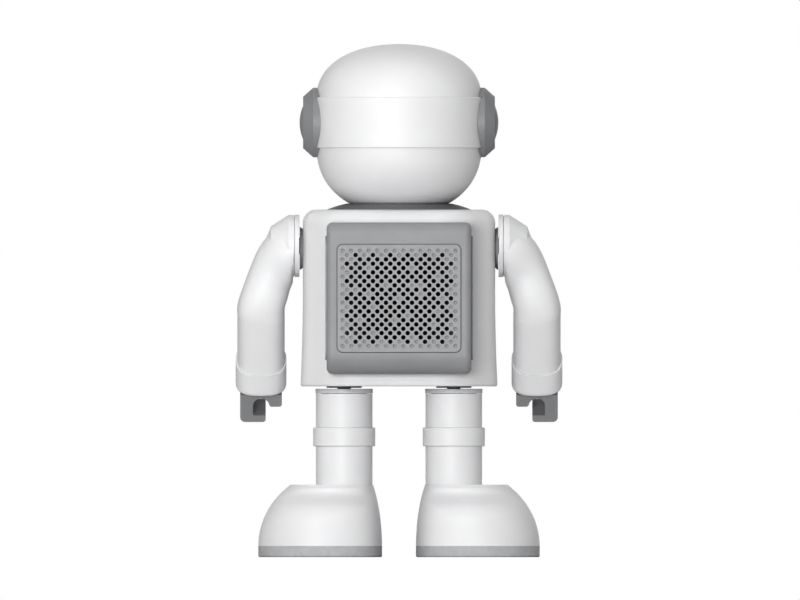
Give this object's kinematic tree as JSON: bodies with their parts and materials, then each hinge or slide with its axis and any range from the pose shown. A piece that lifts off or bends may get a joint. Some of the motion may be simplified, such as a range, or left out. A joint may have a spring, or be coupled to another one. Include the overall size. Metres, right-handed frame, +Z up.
{
  "type": "robot-shaped speaker",
  "caption": "Free-standing astronaut robot figure with a round helmet, turning head, arms, claw hands and legs, and a loudspeaker behind a pierced grille in its backpack.",
  "frame": {"origin": "on the floor under the middle of the overall box", "axes": "+Z up, +Y the way the robot faces, +X the robot's own right"},
  "size_m": [0.121, 0.081, 0.19],
  "materials": {
    "white_shell": "satin moulded white",
    "grey_panel": "satin grey",
    "clear_lens": "frosted clear",
    "dark_grey_trim": "matt dark grey",
    "pale_grey_trim": "satin pale grey",
    "leg_cap_grey": "satin light grey",
    "backpack_grey": "fine matt grey",
    "side_strip_grey": "satin grey",
    "grille_grey": "satin grey paint",
    "button_grey": "satin grey",
    "ear_grey": "satin grey",
    "hand_grey": "satin mid grey",
    "sole_grey": "matt grey rubber",
    "smoked_lens": "gloss smoked",
    "dark_plastic": "matt black",
    "steel": "zinc plated",
    "black_steel": "matt black paint",
    "circuit_board": "green solder mask",
    "cone_paper": "pressed black paper",
    "black_rubber": "matt black",
    "magnet_iron": "ferrite",
    "battery_wrap": "heat shrink wrap"
  },
  "bodies": {
    "torso": {"torso_back_shell": "white_shell", "torso_front_shell": "white_shell", "torso_screws": "steel", "chest_panel": "grey_panel", "status_light": "clear_lens", "neck_collar": "dark_grey_trim", "shoulder_bosses": "pale_grey_trim", "hip_washers": "pale_grey_trim", "backpack_housing": "backpack_grey", "side_strip_right": "side_strip_grey", "side_strip_left": "side_strip_grey", "button_board": "circuit_board", "charge_port": "steel", "speaker_grille": "grille_grey", "speaker_basket": "black_steel", "speaker_cone": "cone_paper", "speaker_surround": "black_rubber", "speaker_magnet": "magnet_iron", "driver_screws": "black_steel", "backpack_screws": "steel", "battery": "battery_wrap", "main_board": "circuit_board"},
    "head": {"head_dome": "white_shell", "head_bowl": "white_shell", "head_frame": "dark_plastic", "head_band": "white_shell", "visor_lens": "smoked_lens", "face_panel": "dark_plastic", "eye_lenses": "clear_lens", "eye_board": "circuit_board", "ear_cup_right": "ear_grey", "ear_cup_left": "ear_grey", "ear_caps": "ear_grey", "head_spindle": "dark_plastic", "neck_retainer": "steel", "head_screws": "steel"},
    "arm_right": {"arm_shell_right": "white_shell", "cuff_right": "white_shell", "shoulder_ring_right": "white_shell", "shoulder_axle_right": "steel"},
    "claw_right": {"hand_right": "hand_grey"},
    "leg_right": {"foot_upper_right": "white_shell", "sole_right": "sole_grey", "leg_tube_right": "white_shell", "leg_ring_right": "white_shell", "leg_cap_right": "leg_cap_grey"},
    "arm_left": {"arm_shell_left": "white_shell", "cuff_left": "white_shell", "shoulder_ring_left": "white_shell", "shoulder_axle_left": "steel"},
    "claw_left": {"hand_left": "hand_grey"},
    "leg_left": {"foot_upper_left": "white_shell", "sole_left": "sole_grey", "leg_tube_left": "white_shell", "leg_ring_left": "white_shell", "leg_cap_left": "leg_cap_grey"},
    "volume_down_key": {"volume_down_button": "button_grey"},
    "play_key": {"play_button": "button_grey"},
    "volume_up_key": {"volume_up_button": "button_grey"},
    "power_key": {"power_button": "button_grey"}
  },
  "joints": [
    {"name": "neck_yaw", "type": "hinge", "parent": "torso", "child": "head", "pos_m": [0, -0.0015, 0.13], "axis": [0, 0, 1], "range_deg": [-90, 90]},
    {"name": "shoulder_right", "type": "hinge", "parent": "torso", "child": "arm_right", "pos_m": [0.0388, -0.0015, 0.1153], "axis": [1, 0, 0], "continuous": true},
    {"name": "wrist_right", "type": "hinge", "parent": "arm_right", "child": "claw_right", "pos_m": [0.0511, 0.0001, 0.0902], "axis": [0, 0.4695, -0.8829], "range_deg": [-90, 90]},
    {"name": "hip_right", "type": "hinge", "parent": "torso", "child": "leg_right", "pos_m": [0.0203, -0.0035, 0.0632], "axis": [0, 0, 1], "range_deg": [-45, 15]},
    {"name": "shoulder_left", "type": "hinge", "parent": "torso", "child": "arm_left", "pos_m": [-0.0388, -0.0015, 0.1153], "axis": [1, 0, 0], "continuous": true},
    {"name": "wrist_left", "type": "hinge", "parent": "arm_left", "child": "claw_left", "pos_m": [-0.0511, 0.0001, 0.0902], "axis": [0, 0.4695, -0.8829], "range_deg": [-90, 90]},
    {"name": "hip_left", "type": "hinge", "parent": "torso", "child": "leg_left", "pos_m": [-0.0203, -0.0035, 0.0632], "axis": [0, 0, 1], "range_deg": [-15, 45]},
    {"name": "volume_down_press", "type": "slide", "parent": "torso", "child": "volume_down_key", "axis": [-1, 0, 0], "range_m": [0, 0.0006], "stiffness_N_per_m": 300},
    {"name": "play_press", "type": "slide", "parent": "torso", "child": "play_key", "axis": [-1, 0, 0], "range_m": [0, 0.0006], "stiffness_N_per_m": 300},
    {"name": "volume_up_press", "type": "slide", "parent": "torso", "child": "volume_up_key", "axis": [-1, 0, 0], "range_m": [0, 0.0006], "stiffness_N_per_m": 300},
    {"name": "power_press", "type": "slide", "parent": "torso", "child": "power_key", "axis": [-1, 0, 0], "range_m": [0, 0.0006], "stiffness_N_per_m": 300}
  ]
}
